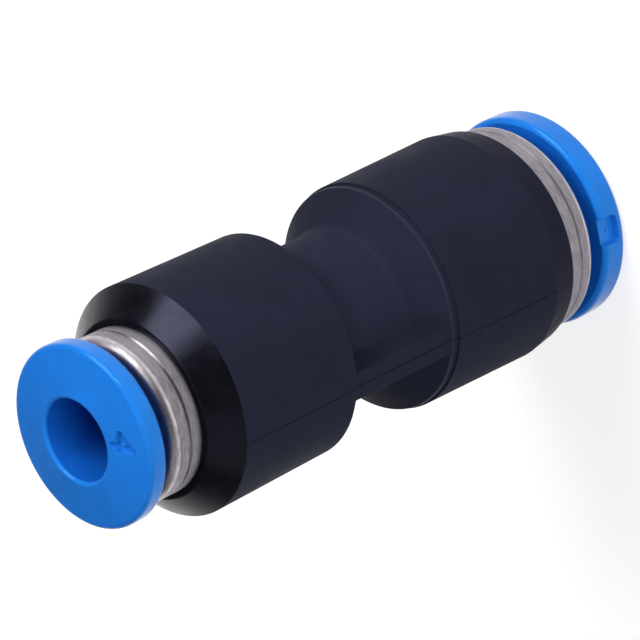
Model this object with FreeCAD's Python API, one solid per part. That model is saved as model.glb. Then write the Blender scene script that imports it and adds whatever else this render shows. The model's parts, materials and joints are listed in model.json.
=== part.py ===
import FreeCAD, Part
import math
import os

# A straight reducing push-in fitting for a small and a large plastic tube, standing on its large end.
# The origin is on the axis at the face of the large release ring, and +Z runs to the small end.
# All sizes are in millimetres, and all angles in degrees about +Z from +X.

# Clearances, radial unless they say otherwise
ring_bore_clearance = 0.1
socket_clearance = 0.08
stem_clearance = 0.06
collar_clearance = 0.08
grip_clearance = 0.05
grip_end_clearance = 0.05
stop_clearance = 0.05
nose_clearance = 0.08

# How far a cutting tool runs past the face it cuts, and how near two values are to count as the same
cut_overshoot = 1.0
same_place = 1e-6

# Body: both barrels, the neck with its cone and two flat ribs, and the through bore
barrel_d = 12.5
neck_d = 8.76
neck_length = 6.9
neck_cone_height = 1.62
neck_large_round = 0.5
neck_small_round = 0.3
rib_span = 11.96
rib_thickness = 1.6
through_bore_d = 2.7

# Body at the small end
small_mouth_d = 9.56
small_bevel_height = 1.42
small_barrel_root_d = 12.14
small_barrel_length = 9.4
small_barrel_round = 0.35
small_recess_depth = 0.5
small_socket_length = 2.35

# Body at the large end, with a small step where the barrel meets the neck's cone
large_mouth_d = 11.94
large_bevel_height = 1.6
large_barrel_root_d = 12.38
large_barrel_length = 9.25
large_barrel_round = 0.15
large_recess_depth = 0.5
large_socket_length = 2.45
barrel_step_height = 0.1
barrel_step_length = 0.4
recess_chamfer = 0.12

# Release ring of the small end
small_tube_d = 4.0
small_flange_d = 9.9
small_flange_thickness = 1.15
small_face_rise = 0.55
small_flange_face_round = 0.3
small_flange_back_round = 0.35
small_bore_round = 0.12
small_stem_wall = 0.5
small_bead_height = 0.4
small_bead_length = 0.6
small_nose_chamfer = 0.35
small_ring_travel = 0.7

# Release ring of the large end, whose face is flat so that the fitting stands on it
large_tube_d = 6.0
large_flange_d = 11.52
large_flange_thickness = 1.58
large_face_rise = 0.0
large_flange_face_round = 0.4
large_flange_back_round = 0.3
large_bore_round = 0.15
large_stem_wall = 0.55
large_bead_height = 0.45
large_bead_length = 0.7
large_nose_chamfer = 0.4
large_ring_travel = 0.72
stem_root_round = 0.15
bore_flare = 0.15
bore_flare_depth = 1.2

# Marks on the release rings: the engraved tube size, and the moulding gate's nub or notch
small_numeral_angle = 199.0
small_gate_angle = 237.0
large_numeral_angle = 16.0
large_gate_angle = 195.0
numeral_gap = 0.18
numeral_lean = 20.0
numeral_height = 1.35
numeral_stroke = 0.28
numeral_depth = 0.1
four_side_share = 0.36
four_bar_share = 0.22
six_bowl_share = 0.29
six_back_share = 0.9
six_back_start = 35.0
six_back_end = 90.0
gate_nub_d = 0.2
gate_notch_width = 1.5
gate_notch_height = 1.07
gate_notch_depth = 0.4
gate_notch_round = 0.2

# Retaining sleeve of the small end
small_collar_d = 9.0
small_collar_proud = 2.0
small_collar_round = 0.35
small_spigot_d = 8.0
small_spigot_depth = 2.5
small_sleeve_wall = 0.7
small_lip_thickness = 1.0
small_groove_height = 0.75

# Retaining sleeve of the large end
large_collar_d = 11.28
large_collar_proud = 1.8
large_collar_round = 0.35
large_spigot_d = 10.2
large_spigot_depth = 3.0
large_sleeve_wall = 0.7
large_lip_thickness = 1.0
large_groove_height = 0.88
groove_width = 0.2
groove_depth = 0.07

# Grip rings, support rings and seals
grip_sheet = 0.25
grip_tooth_angle = 40.0
grip_bite = 0.13
grip_slot_width = 0.35
small_grip_bend_d = 6.0
small_grip_teeth = 8
large_grip_bend_d = 8.3
large_grip_teeth = 12
cup_clearance = 0.1
support_floor = 0.4
small_support_length = 1.6
large_support_length = 1.8
small_seal_d = 6.8
small_seal_length = 1.8
large_seal_d = 9.2
large_seal_length = 2.0
seal_bite = 0.15
seal_relief = 0.4
seal_round = 0.2

origin = FreeCAD.Vector(0, 0, 0)
axis = FreeCAD.Vector(0, 0, 1)


class TubeEnd:
    """One end of the fitting, in its own frame: +Z runs out of the body, and Z is 0 at the body's mouth."""

    def __init__(self, name, mouth_z, outward):
        self.name = name
        self.mouth_z = mouth_z
        self.outward = outward
        for key, value in globals().items():
            if key.startswith(name + "_"):
                setattr(self, key[len(name) + 1:], value)
        tube_r = self.tube_d / 2
        self.ring_bore_r = tube_r + ring_bore_clearance
        self.ring_mouth_r = self.ring_bore_r + bore_flare
        self.socket_r = tube_r + socket_clearance
        self.stem_r = self.ring_bore_r + self.stem_wall
        self.lip_r = self.stem_r + stem_clearance
        self.recess_r = self.collar_d / 2 + collar_clearance
        self.flange_back = self.collar_proud + self.ring_travel + stop_clearance
        self.rim_face = self.flange_back + self.flange_thickness
        self.flange_face = self.rim_face + self.face_rise
        self.grip_top = -self.spigot_depth - grip_end_clearance
        self.grip_tip_r = tube_r - grip_bite
        self.support_top = self.grip_top - grip_sheet - grip_end_clearance
        self.seal_top = self.support_top - self.support_length
        self.socket_top = self.seal_top - self.seal_length
        self.tube_stop = self.socket_top - self.socket_length

    def tooth_z(self, radius):
        """The height of the grip teeth's outer side at a radius."""
        slope = math.tan(math.radians(grip_tooth_angle))
        return self.grip_top - (self.grip_bend_d / 2 - radius) * slope

    def place(self, shape):
        """Moves a shape from this end's own frame to the fitting's frame."""
        if self.outward < 0:
            shape.rotate(origin, FreeCAD.Vector(1, 0, 0), 180)
        shape.translate(FreeCAD.Vector(0, 0, self.mouth_z))
        return shape

    def turned(self, shape, angle):
        """Turns a shape about the axis so that its own +X points at an angle of the fitting's frame."""
        shape.rotate(origin, axis, self.outward * angle)
        return shape


def revolved(corners):
    """A solid of revolution about Z through corners (radius, z) or (radius, z, round)."""
    edges = []
    joints = []
    for i, corner in enumerate(corners):
        here = FreeCAD.Vector(corner[0], 0, corner[1])
        if len(corner) == 2:
            joints.append((here, here))
            continue
        before = corners[i - 1]
        after = corners[(i + 1) % len(corners)]
        to_before = (FreeCAD.Vector(before[0], 0, before[1]) - here).normalize()
        to_after = (FreeCAD.Vector(after[0], 0, after[1]) - here).normalize()
        half = to_before.getAngle(to_after) / 2
        start = here + to_before * (corner[2] / math.tan(half))
        end = here + to_after * (corner[2] / math.tan(half))
        inward = (to_before + to_after).normalize()
        middle = here + inward * (corner[2] / math.sin(half) - corner[2])
        edges.append(Part.Arc(start, middle, end).toShape())
        joints.append((start, end))
    for i, (_, end) in enumerate(joints):
        start = joints[(i + 1) % len(joints)][0]
        edges.append(Part.LineSegment(end, start).toShape())
    wire = Part.Wire(Part.__sortEdges__(edges))
    return Part.Face(wire).revolve(origin, axis, 360)


def box(x, y, z):
    """A box between two values on each axis."""
    corner = FreeCAD.Vector(x[0], y[0], z[0])
    return Part.makeBox(x[1] - x[0], y[1] - y[0], z[1] - z[0], corner)


def body_outside(small, large):
    """The body's outer form: two barrels and the neck between them, which widens in a cone to the large one."""
    small_face = small.mouth_z - small.barrel_length
    large_face = large.mouth_z + large.barrel_length
    step_r = large.barrel_root_d / 2 - barrel_step_height
    return revolved([
        (0, large.mouth_z),
        (large.mouth_d / 2, large.mouth_z),
        (barrel_d / 2, large.mouth_z + large.bevel_height),
        (large.barrel_root_d / 2, large_face - barrel_step_length),
        (step_r, large_face - barrel_step_length),
        (step_r, large_face, large.barrel_round),
        (neck_d / 2, large_face + neck_cone_height, neck_large_round),
        (neck_d / 2, small_face, neck_small_round),
        (small.barrel_root_d / 2, small_face, small.barrel_round),
        (barrel_d / 2, small.mouth_z - small.bevel_height),
        (small.mouth_d / 2, small.mouth_z),
        (0, small.mouth_z),
    ])


def body_ribs(small, large):
    """The flat plate on the parting plane, which shows as a rib on each side of the neck."""
    half_span = rib_span / 2
    half_thickness = rib_thickness / 2
    bottom = large.mouth_z + large.barrel_length - barrel_step_length - large.barrel_round
    top = small.mouth_z - small.barrel_length + 2 * small.barrel_round
    return box((-half_span, half_span), (-half_thickness, half_thickness), (bottom, top))


def end_cavity(end):
    """The stepped bore of one end, from the mouth to the tube stop."""
    spigot_r = end.spigot_d / 2
    seal_r = end.seal_d / 2
    beyond = end.recess_depth
    return revolved([
        (0, beyond),
        (end.recess_r + recess_chamfer + beyond, beyond),
        (end.recess_r, -recess_chamfer),
        (end.recess_r, -end.recess_depth),
        (spigot_r, -end.recess_depth),
        (spigot_r, end.seal_top),
        (seal_r, end.seal_top),
        (seal_r, end.socket_top),
        (end.socket_r, end.socket_top),
        (end.socket_r, end.tube_stop),
        (0, end.tube_stop),
    ])


def body(small, large):
    """The moulded one-piece body."""
    bottom = large.mouth_z - large.tube_stop
    top = small.mouth_z + small.tube_stop
    through = Part.makeCylinder(through_bore_d / 2, top - bottom, FreeCAD.Vector(0, 0, bottom))
    shape = body_outside(small, large).fuse(body_ribs(small, large))
    for end in (small, large):
        shape = shape.cut(end.place(end_cavity(end)))
    return shape.cut(through).removeSplitter()


def retaining_sleeve(end):
    """The plated metal sleeve: a collar seated in the mouth, a pressed spigot and an inturned lip."""
    collar_r = end.collar_d / 2
    spigot_r = end.spigot_d / 2
    chamber_r = spigot_r - end.sleeve_wall
    lip_inside = end.collar_proud - end.lip_thickness
    groove = end.groove_height
    return revolved([
        (end.lip_r, end.collar_proud),
        (collar_r, end.collar_proud, end.collar_round),
        (collar_r, groove + groove_width / 2),
        (collar_r - groove_depth, groove),
        (collar_r, groove - groove_width / 2),
        (collar_r, -end.recess_depth),
        (spigot_r, -end.recess_depth),
        (spigot_r, -end.spigot_depth),
        (chamber_r, -end.spigot_depth),
        (chamber_r, lip_inside),
        (end.lip_r, lip_inside),
    ])


def release_ring_blank(end):
    """The release ring without its marks: flange, flared bore, stem, retaining bead and blunt nose."""
    bead_r = end.stem_r + end.bead_height
    bead_top = end.collar_proud - end.lip_thickness - stop_clearance
    bead_bottom = bead_top - end.bead_length
    nose_r = end.stem_r - end.nose_chamfer
    nose = end.tooth_z(nose_r) + nose_clearance + end.ring_travel
    return revolved([
        (end.ring_mouth_r, end.flange_face, end.bore_round),
        (end.flange_d / 2, end.rim_face, end.flange_face_round),
        (end.flange_d / 2, end.flange_back, end.flange_back_round),
        (end.stem_r, end.flange_back, stem_root_round),
        (end.stem_r, bead_top),
        (bead_r, bead_top),
        (bead_r, bead_bottom),
        (end.stem_r, bead_bottom - end.bead_height),
        (end.stem_r, nose + end.nose_chamfer),
        (nose_r, nose),
        (end.ring_bore_r, nose),
        (end.ring_bore_r, end.flange_face - bore_flare_depth),
    ])


def stroke(start, end, bottom, top):
    """A straight engraved stroke with round ends, from (x, y) to (x, y)."""
    along = FreeCAD.Vector(end[0] - start[0], end[1] - start[1], 0)
    bar = box((0, along.Length), (-numeral_stroke / 2, numeral_stroke / 2), (bottom, top))
    bar.rotate(origin, axis, math.degrees(math.atan2(along.y, along.x)))
    bar.translate(FreeCAD.Vector(start[0], start[1], 0))
    for x, y in (start, end):
        bar = bar.fuse(Part.makeCylinder(numeral_stroke / 2, top - bottom, FreeCAD.Vector(x, y, bottom)))
    return bar


def curved_stroke(centre, radius, first, last, bottom, top):
    """An engraved stroke along an arc about (x, y), between two angles."""
    base = FreeCAD.Vector(centre[0], centre[1], bottom)
    outer = Part.makeCylinder(radius + numeral_stroke / 2, top - bottom, base, axis, last - first)
    inner = Part.makeCylinder(radius - numeral_stroke / 2, top - bottom, base)
    shape = outer.cut(inner)
    shape.rotate(base, axis, first)
    return shape


def numeral_four(bottom, top):
    """A plain 4 with its middle at the origin and its top towards +X."""
    high = numeral_height / 2
    side = numeral_height * four_side_share
    bar = numeral_height * four_bar_share
    upright = stroke((-high, -bar), (high, -bar), bottom, top)
    cross = stroke((-bar, -side), (-bar, side), bottom, top)
    slant = stroke((-bar, side), (high, -bar), bottom, top)
    return upright.fuse(cross).fuse(slant)


def numeral_six(bottom, top):
    """A plain 6 with its middle at the origin and its top towards +X."""
    high = numeral_height / 2
    bowl_r = numeral_height * six_bowl_share
    bowl_x = bowl_r - high
    back_r = numeral_height * six_back_share
    bowl = curved_stroke((bowl_x, 0), bowl_r, 0, 360, bottom, top)
    back = curved_stroke((bowl_x, bowl_r - back_r), back_r, six_back_start, six_back_end, bottom, top)
    return bowl.fuse(back)


def numeral_radius(end):
    """The numeral's middle, a gap away from the edge of the ring's bore."""
    return end.ring_mouth_r + end.bore_round + numeral_gap + (numeral_height + numeral_stroke) / 2


def engraved(ring, numeral, end, angle):
    """Cuts a numeral to an even depth into the ring's face, with its top towards the rim."""
    tool = numeral(end.rim_face - end.flange_thickness / 2, end.flange_face + numeral_depth)
    tool.rotate(origin, axis, -numeral_lean)
    tool.translate(FreeCAD.Vector(numeral_radius(end), 0, 0))
    lowered = ring.translated(FreeCAD.Vector(0, 0, -numeral_depth))
    return ring.cut(end.turned(tool, angle).cut(lowered))


def small_release_ring(end):
    """The small ring, with its tube size and the gate's nub on the rim."""
    ring = engraved(release_ring_blank(end), numeral_four, end, end.numeral_angle)
    height = end.rim_face - end.flange_face_round - gate_nub_d / 2
    nub = Part.makeSphere(gate_nub_d / 2, FreeCAD.Vector(end.flange_d / 2, 0, height))
    return ring.fuse(end.turned(nub, end.gate_angle))


def large_release_ring(end):
    """The large ring, with its tube size and the gate's notch and nub in the back of the rim."""
    ring = engraved(release_ring_blank(end), numeral_six, end, end.numeral_angle)
    outside = end.flange_d / 2
    half = gate_notch_width / 2
    top = end.flange_back + gate_notch_height
    radial = (outside - gate_notch_depth, outside + cut_overshoot)
    notch = box(radial, (-half, half), (end.flange_back - cut_overshoot, top))
    corners = [e for e in notch.Edges if e.BoundBox.YLength < same_place
               and e.BoundBox.ZLength < same_place and e.BoundBox.ZMax > top - same_place]
    notch = notch.makeFillet(gate_notch_round, corners)
    floor = FreeCAD.Vector(outside - gate_notch_depth, 0, end.flange_back + gate_notch_height / 2)
    nub = Part.makeSphere(gate_nub_d / 2, floor)
    ring = ring.cut(end.turned(notch, end.gate_angle))
    return ring.fuse(end.turned(nub, end.gate_angle))


def grip_ring(end):
    """The spring steel grip ring: a flat rim with teeth bent towards the tube stop."""
    angle = math.radians(grip_tooth_angle)
    rim_r = end.spigot_d / 2 - grip_clearance
    bend_r = end.grip_bend_d / 2
    lower_bend_r = bend_r + grip_sheet * (1 / math.cos(angle) - 1) / math.tan(angle)
    tip_top = end.tooth_z(end.grip_tip_r)
    tip_bottom = tip_top - grip_sheet / math.cos(angle)
    ring = revolved([
        (rim_r, end.grip_top),
        (bend_r, end.grip_top),
        (end.grip_tip_r, tip_top),
        (end.grip_tip_r, tip_bottom),
        (lower_bend_r, end.grip_top - grip_sheet),
        (rim_r, end.grip_top - grip_sheet),
    ])
    half = grip_slot_width / 2
    slot_z = (tip_bottom - cut_overshoot, end.grip_top + cut_overshoot)
    for i in range(end.grip_teeth):
        slot = box((0, bend_r), (-half, half), slot_z)
        slot.rotate(origin, axis, 360 * i / end.grip_teeth)
        ring = ring.cut(slot)
    return ring


def support_ring(end):
    """The cup-shaped ring that backs the seal and leaves room for the teeth to bend."""
    outer_r = end.spigot_d / 2
    cup_r = end.grip_bend_d / 2 + cup_clearance
    floor_top = end.seal_top + support_floor
    return revolved([
        (cup_r, end.support_top),
        (outer_r, end.support_top),
        (outer_r, end.seal_top),
        (end.ring_bore_r, end.seal_top),
        (end.ring_bore_r, floor_top),
        (cup_r, floor_top),
    ])


def seal_ring(end):
    """The rubber lip seal, whose inner edge presses on the tube."""
    outer_r = end.seal_d / 2
    inner_r = end.tube_d / 2 - seal_bite
    middle = (end.seal_top + end.socket_top) / 2
    return revolved([
        (inner_r + seal_relief, end.seal_top, seal_round),
        (outer_r, end.seal_top, seal_round),
        (outer_r, end.socket_top, seal_round),
        (inner_r + seal_relief, end.socket_top, seal_round),
        (inner_r, middle, seal_round),
    ])


def main():
    """Builds every piece in place and writes one file for each."""
    large_mouth = large_flange_thickness + large_ring_travel + stop_clearance + large_collar_proud
    small_mouth = large_mouth + large_barrel_length + neck_length + small_barrel_length
    small = TubeEnd("small", small_mouth, 1)
    large = TubeEnd("large", large_mouth, -1)
    pieces = {
        "body": body(small, large),
        "small_release_ring": small.place(small_release_ring(small)),
        "large_release_ring": large.place(large_release_ring(large)),
    }
    for end in (small, large):
        pieces[end.name + "_retaining_sleeve"] = end.place(retaining_sleeve(end))
        pieces[end.name + "_grip_ring"] = end.place(grip_ring(end))
        pieces[end.name + "_support_ring"] = end.place(support_ring(end))
        pieces[end.name + "_seal_ring"] = end.place(seal_ring(end))
    os.makedirs("parts", exist_ok=True)
    for name, shape in pieces.items():
        shape.exportStep("parts/" + name + ".step")
        print(name, len(shape.Solids), "solid", round(shape.Volume, 3), "mm3", shape.isValid())
    print("length", round(small.mouth_z + small.flange_face, 3))
    print("tube stops", round(small.mouth_z + small.tube_stop, 3), round(large.mouth_z - large.tube_stop, 3))


main()
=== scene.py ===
"""A straight push-in fitting for a small and a large plastic tube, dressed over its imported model.

The fitting stands on its large release ring with its axis along Z and its small end up. Lengths are
in metres, written as millimetres times MM, and angles are in degrees about +Z from +X.
"""

import json
import logging
import math
from dataclasses import dataclass, field
from enum import Enum, IntEnum
from typing import Any, Iterable, Sequence

import bmesh
import bpy
import numpy as np
from mathutils import Matrix, Vector


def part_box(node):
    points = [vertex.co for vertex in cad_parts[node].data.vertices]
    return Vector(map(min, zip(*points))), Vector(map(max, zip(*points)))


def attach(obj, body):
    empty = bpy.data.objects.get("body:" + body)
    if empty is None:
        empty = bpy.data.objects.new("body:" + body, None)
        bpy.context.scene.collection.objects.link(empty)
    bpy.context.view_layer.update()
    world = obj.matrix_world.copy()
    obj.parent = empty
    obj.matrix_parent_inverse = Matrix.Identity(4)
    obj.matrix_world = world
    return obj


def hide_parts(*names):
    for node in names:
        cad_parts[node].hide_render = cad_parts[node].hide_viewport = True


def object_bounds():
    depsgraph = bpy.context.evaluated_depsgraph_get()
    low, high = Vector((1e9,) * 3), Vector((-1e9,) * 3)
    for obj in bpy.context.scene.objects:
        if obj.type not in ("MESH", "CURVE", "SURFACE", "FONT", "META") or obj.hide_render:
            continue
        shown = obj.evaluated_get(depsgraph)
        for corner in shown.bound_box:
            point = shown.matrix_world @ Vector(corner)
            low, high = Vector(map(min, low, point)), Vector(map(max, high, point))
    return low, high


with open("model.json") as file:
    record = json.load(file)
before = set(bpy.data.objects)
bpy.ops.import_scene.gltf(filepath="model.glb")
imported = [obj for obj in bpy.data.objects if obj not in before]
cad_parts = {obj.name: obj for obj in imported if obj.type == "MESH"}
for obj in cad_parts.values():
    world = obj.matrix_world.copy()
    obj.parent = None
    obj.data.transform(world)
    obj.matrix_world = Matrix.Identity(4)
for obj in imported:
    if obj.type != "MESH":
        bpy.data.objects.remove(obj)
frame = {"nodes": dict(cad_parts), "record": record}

MM = 0.001
CAD_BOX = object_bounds()
LOG = logging.getLogger("fitting")

# Mesh fineness
ROW_STEP = 0.5 * MM
PLAIN_ROW_STEP = 2 * MM
ARC_TURN = 11.0
SUPPORT = 0.03 * MM
COLUMN_TURN = 1.5
MERGE_DISTANCE = 0.0001 * MM
SHARP_TURN = 32.0

# A highlight that spreads across lines round the axis is turned by a quarter from those lines
QUARTER_TURN = 0.25


@dataclass(frozen=True)
class Corner:
    """A corner of a turned outline.

    Attributes:
        radius: Distance from the axis.
        z: Height.
        round: Radius of the rounding, or 0 for a sharp corner.
        step: Longest distance between rows from here to the next corner.
        finish: Number of the finish from here to the next corner.
        arc_finish: Number of the rounding's finish, or None for the lower one of those beside it.
    """

    radius: float
    z: float
    round: float = 0.0
    step: float = ROW_STEP
    finish: int = 0
    arc_finish: int | None = None

    @property
    def place(self) -> np.ndarray:
        """The corner's place in the half-plane of radius and height."""
        return np.array((self.radius, self.z))


@dataclass(frozen=True)
class FineSpan:
    """A stretch of azimuth where the columns of a turned mesh lie closer together.

    Attributes:
        middle: Azimuth of its middle.
        half: Half of its width.
        step: Turn from one column to the next.
    """

    middle: float
    half: float
    step: float


@dataclass
class Outline:
    """A closed outline in the half-plane of radius and height.

    Attributes:
        points: One (radius, z) for each row.
        finishes: The finish between each row and the next.
    """

    points: np.ndarray
    finishes: np.ndarray


def stations(length: float, step: float, supports: tuple[bool, bool]) -> list[float]:
    """Spreads rows along a straight stretch of an outline.

    Args:
        length: Length of the stretch.
        step: Longest distance between rows.
        supports: Whether a row lies close to the start and to the end.

    Returns:
        The rows' distances from the start, without the two ends.
    """
    count = max(1, math.ceil(length / step))
    places = [length * i / count for i in range(1, count)]
    if length > 4 * SUPPORT:
        if supports[0]:
            places = [SUPPORT] + [p for p in places if p > 2 * SUPPORT]
        if supports[1]:
            places = [p for p in places if p < length - 2 * SUPPORT] + [length - SUPPORT]
    return places


def rounded_corner(before: np.ndarray, corner: Corner, after: np.ndarray) -> list[np.ndarray]:
    """Works out the points of one corner.

    Args:
        before: The corner before it.
        corner: The corner, with its rounding.
        after: The corner after it.

    Returns:
        The points of its arc, or its own place alone where it is sharp.
    """
    here = corner.place
    if corner.round == 0:
        return [here]
    to_before = (before - here) / np.linalg.norm(before - here)
    to_after = (after - here) / np.linalg.norm(after - here)
    half = math.acos(float(np.clip(to_before @ to_after, -1, 1))) / 2
    middle = (to_before + to_after) / np.linalg.norm(to_before + to_after)
    centre = here + middle * (corner.round / math.sin(half))
    start = here + to_before * (corner.round / math.tan(half)) - centre
    end = here + to_after * (corner.round / math.tan(half)) - centre
    turn = math.pi - 2 * half
    count = max(3, math.ceil(math.degrees(turn) / ARC_TURN))
    shares = [i / count for i in range(count + 1)]
    return [centre + (start * math.sin((1 - s) * turn) + end * math.sin(s * turn)) / math.sin(turn)
            for s in shares]


def trace(corners: Sequence[Corner]) -> Outline:
    """Turns corners into a closed outline with rounded corners and rows close beside them.

    Args:
        corners: The corners in order.

    Returns:
        The outline.
    """
    count = len(corners)
    arcs = [rounded_corner(corners[i - 1].place, c, corners[(i + 1) % count].place)
            for i, c in enumerate(corners)]
    points: list[np.ndarray] = []
    finishes: list[int] = []
    for i, corner in enumerate(corners):
        following = (i + 1) % count
        start, end = arcs[i][-1], arcs[following][0]
        length = float(np.linalg.norm(end - start))
        supports = (len(arcs[i]) > 1, len(arcs[following]) > 1)
        along = [start + (end - start) * d / length for d in stations(length, corner.step, supports)]
        lower = min(corners[i - 1].finish, corner.finish)
        arc_finish = lower if corner.arc_finish is None else corner.arc_finish
        points += arcs[i] + along
        finishes += [arc_finish] * (len(arcs[i]) - 1) + [corner.finish] * (len(along) + 1)
    return Outline(np.array(points), np.array(finishes))


def column_angles(spans: Iterable[FineSpan], coarse: float = COLUMN_TURN) -> np.ndarray:
    """Spreads the columns of a turned mesh round the axis.

    Args:
        spans: Stretches with closer columns. A later one takes the place of an earlier one.
        coarse: Turn between columns elsewhere.

    Returns:
        The azimuths in order, in degrees from 0 to 360.
    """
    angles = np.arange(0, 360, coarse)
    for span in spans:
        away = np.abs((angles - span.middle + 180) % 360 - 180)
        count = round(2 * span.half / span.step)
        fine = span.middle + np.linspace(-span.half, span.half, count + 1)
        angles = np.concatenate((angles[away > span.half + span.step / 2], fine % 360))
    return np.unique(np.round(angles, 6))


def smooth_step(low: float, high: float, value: np.ndarray) -> np.ndarray:
    """Rises smoothly from 0 at low to 1 at high.

    Args:
        low: Where the rise starts.
        high: Where it ends.
        value: The values to grade.

    Returns:
        A share from 0 to 1 for each value.
    """
    share = np.clip((value - low) / (high - low), 0, 1)
    return share * share * (3 - 2 * share)


def angle_from(angles: np.ndarray, middle: float) -> np.ndarray:
    """The turn from an azimuth to each angle, from -180 to 180 degrees."""
    return (angles - middle + 180) % 360 - 180


@dataclass
class TurnedGrid:
    """A closed mesh of rows along an outline and columns round the axis.

    Attributes:
        outline: The outline that is turned.
        angles: The columns' azimuths.
        radius: The radius of each point, row by row.
        z: The height of each point, row by row.
    """

    outline: Outline
    angles: np.ndarray
    radius: np.ndarray = field(init=False)
    z: np.ndarray = field(init=False)

    def __post_init__(self) -> None:
        """Turns the outline round the axis."""
        columns = np.ones((1, len(self.angles)))
        self.radius = self.outline.points[:, :1] * columns
        self.z = self.outline.points[:, 1:] * columns

    def points(self) -> np.ndarray:
        """The place of each point in space, row by row."""
        turn = np.radians(self.angles)[None, :]
        return np.stack((self.radius * np.cos(turn), self.radius * np.sin(turn), self.z), axis=-1)


def add_object(name: str, data: Any) -> bpy.types.Object:
    """Puts a mesh, a light or a camera into the scene.

    Args:
        name: Name of the object.
        data: What it holds.

    Returns:
        The object.
    """
    made = bpy.data.objects.new(name, data)
    bpy.context.scene.collection.objects.link(made)
    return made


def direction(azimuth: float, elevation: float) -> Vector:
    """The direction from the fitting towards an azimuth and an elevation, in degrees."""
    a, e = math.radians(azimuth), math.radians(elevation)
    return Vector((math.cos(a) * math.cos(e), math.sin(a) * math.cos(e), math.sin(e)))


def make_piece(name: str, points: np.ndarray, finishes: np.ndarray,
               materials: Sequence[bpy.types.Material]) -> bpy.types.Object:
    """Makes a smooth closed piece from a grid that joins up both ways.

    Args:
        name: Name of the piece.
        points: The places of the points, row by row.
        finishes: The number of the material between each row and the next.
        materials: The materials.

    Returns:
        The piece.
    """
    rows, columns = points.shape[:2]
    first = np.arange(rows * columns).reshape(rows, columns)
    second = np.roll(first, -1, axis=1)
    quads = np.stack((first, second, np.roll(second, -1, axis=0), np.roll(first, -1, axis=0)), axis=-1)
    mesh = bpy.data.meshes.new(name)
    mesh.from_pydata(points.reshape(-1, 3).tolist(), [], quads.reshape(-1, 4).tolist())
    mesh.polygons.foreach_set("material_index", np.repeat(finishes, columns).astype(np.int32))
    build = bmesh.new()
    build.from_mesh(mesh)
    bmesh.ops.remove_doubles(build, verts=build.verts, dist=MERGE_DISTANCE)
    bmesh.ops.dissolve_degenerate(build, edges=build.edges, dist=MERGE_DISTANCE)
    bmesh.ops.recalc_face_normals(build, faces=build.faces)
    build.to_mesh(mesh)
    build.free()
    mesh.shade_smooth()
    mesh.set_sharp_from_angle(angle=math.radians(SHARP_TURN))
    for material in materials:
        mesh.materials.append(material)
    return add_object(name, mesh)


class Graph:
    """Adds and links the nodes of one shader node tree."""

    def __init__(self, tree: bpy.types.NodeTree) -> None:
        """Keeps the tree.

        Args:
            tree: The node tree to fill.
        """
        self.tree = tree

    def feed(self, socket: bpy.types.NodeSocket, value: Any) -> None:
        """Links a socket, or sets its own value.

        Args:
            socket: The input.
            value: An output to link, or a plain value.
        """
        if isinstance(value, bpy.types.NodeSocket):
            self.tree.links.new(value, socket)
        else:
            socket.default_value = value

    def add(self, kind: str, inputs: dict[Any, Any] | None = None, **settings: Any) -> bpy.types.Node:
        """Adds a node.

        Args:
            kind: The node's type.
            inputs: Values or outputs for its inputs, by name or number.
            settings: The node's own settings.

        Returns:
            The node.
        """
        node = self.tree.nodes.new(kind)
        for name, value in settings.items():
            setattr(node, name, value)
        for key, value in (inputs or {}).items():
            self.feed(node.inputs[key], value)
        return node

    def math(self, operation: str, *values: Any) -> bpy.types.NodeSocket:
        """Adds a Math node.

        Args:
            operation: Its operation.
            values: Numbers or outputs.

        Returns:
            The result.
        """
        return self.add("ShaderNodeMath", dict(enumerate(values)), operation=operation).outputs[0]

    def grade(self, value: Any, low: float, high: float, to_low: Any, to_high: Any) -> bpy.types.NodeSocket:
        """Maps a value smoothly from one range to another.

        Args:
            value: The value.
            low: Start of its range.
            high: End of its range.
            to_low: Result at the start.
            to_high: Result at the end.

        Returns:
            The result.
        """
        inputs = {"Value": value, "From Min": low, "From Max": high, "To Min": to_low, "To Max": to_high}
        return self.add("ShaderNodeMapRange", inputs, interpolation_type="SMOOTHSTEP").outputs[0]

    def noise(self, vector: Any, scale: Any, detail: float, roughness: float) -> bpy.types.NodeSocket:
        """Adds a noise texture.

        Args:
            vector: Where to read it.
            scale: Its scale.
            detail: Number of finer layers.
            roughness: Share that each finer layer keeps.

        Returns:
            The noise, from 0 to 1.
        """
        inputs = {"Vector": vector, "Scale": scale, "Detail": detail, "Roughness": roughness}
        return self.add("ShaderNodeTexNoise", inputs).outputs[0]

    def mix(self, share: Any, first: Any, second: Any) -> bpy.types.NodeSocket:
        """Mixes two colours.

        Args:
            share: How much of the second.
            first: The first colour.
            second: The second colour.

        Returns:
            The mixed colour.
        """
        inputs = {0: share, 6: first, 7: second}
        return self.add("ShaderNodeMix", inputs, data_type="RGBA").outputs[2]

    def object_place(self) -> bpy.types.NodeSocket:
        """The shaded point's place in the fitting's frame."""
        return self.add("ShaderNodeTexCoord").outputs["Object"]


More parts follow.
